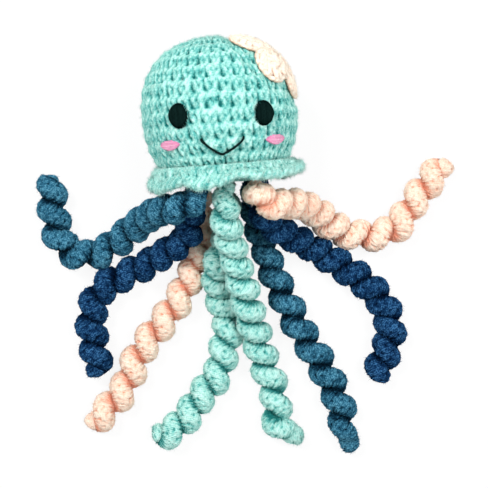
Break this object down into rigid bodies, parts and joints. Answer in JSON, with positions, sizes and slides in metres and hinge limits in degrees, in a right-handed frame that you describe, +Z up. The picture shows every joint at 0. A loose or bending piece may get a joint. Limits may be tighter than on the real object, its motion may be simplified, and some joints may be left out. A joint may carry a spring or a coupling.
{
  "type": "crochet octopus toy",
  "caption": "Soft crocheted octopus lying on its back: round stuffed head with an embroidered face, ruffled frill, corkscrew arms and a sewn-on flower; a comforter toy.",
  "frame": {"origin": "on the floor, in the small flat that the stuffed head rests on, under the head's middle", "axes": "+Z up off the floor, the way the face looks; +Y towards the top of the head, with the arms lying towards -Y; +X to the right as seen from above"},
  "size_m": [0.1981, 0.1935, 0.0692],
  "materials": {
    "aqua_yarn": "soft fuzzy yarn",
    "peach_yarn": "soft fuzzy yarn",
    "navy_yarn": "soft fuzzy yarn",
    "steel_yarn": "soft fuzzy yarn",
    "black_thread": "embroidery thread",
    "pink_thread": "embroidery thread",
    "wadding": "loose fibrefill"
  },
  "bodies": {
    "root": {"head_cover": "aqua_yarn", "base_disc": "aqua_yarn", "head_stuffing": "wadding", "skirt": "aqua_yarn", "arm_aqua_right": "aqua_yarn", "arm_aqua_left": "aqua_yarn", "arm_peach_right": "peach_yarn", "arm_peach_left": "peach_yarn", "arm_navy_right": "navy_yarn", "arm_navy_left": "navy_yarn", "arm_steel_right": "steel_yarn", "arm_steel_left": "steel_yarn", "eye_left": "black_thread", "eye_right": "black_thread", "smile": "black_thread", "cheek_left": "pink_thread", "cheek_right": "pink_thread", "flower": "peach_yarn"}
  },
  "joints": []
}
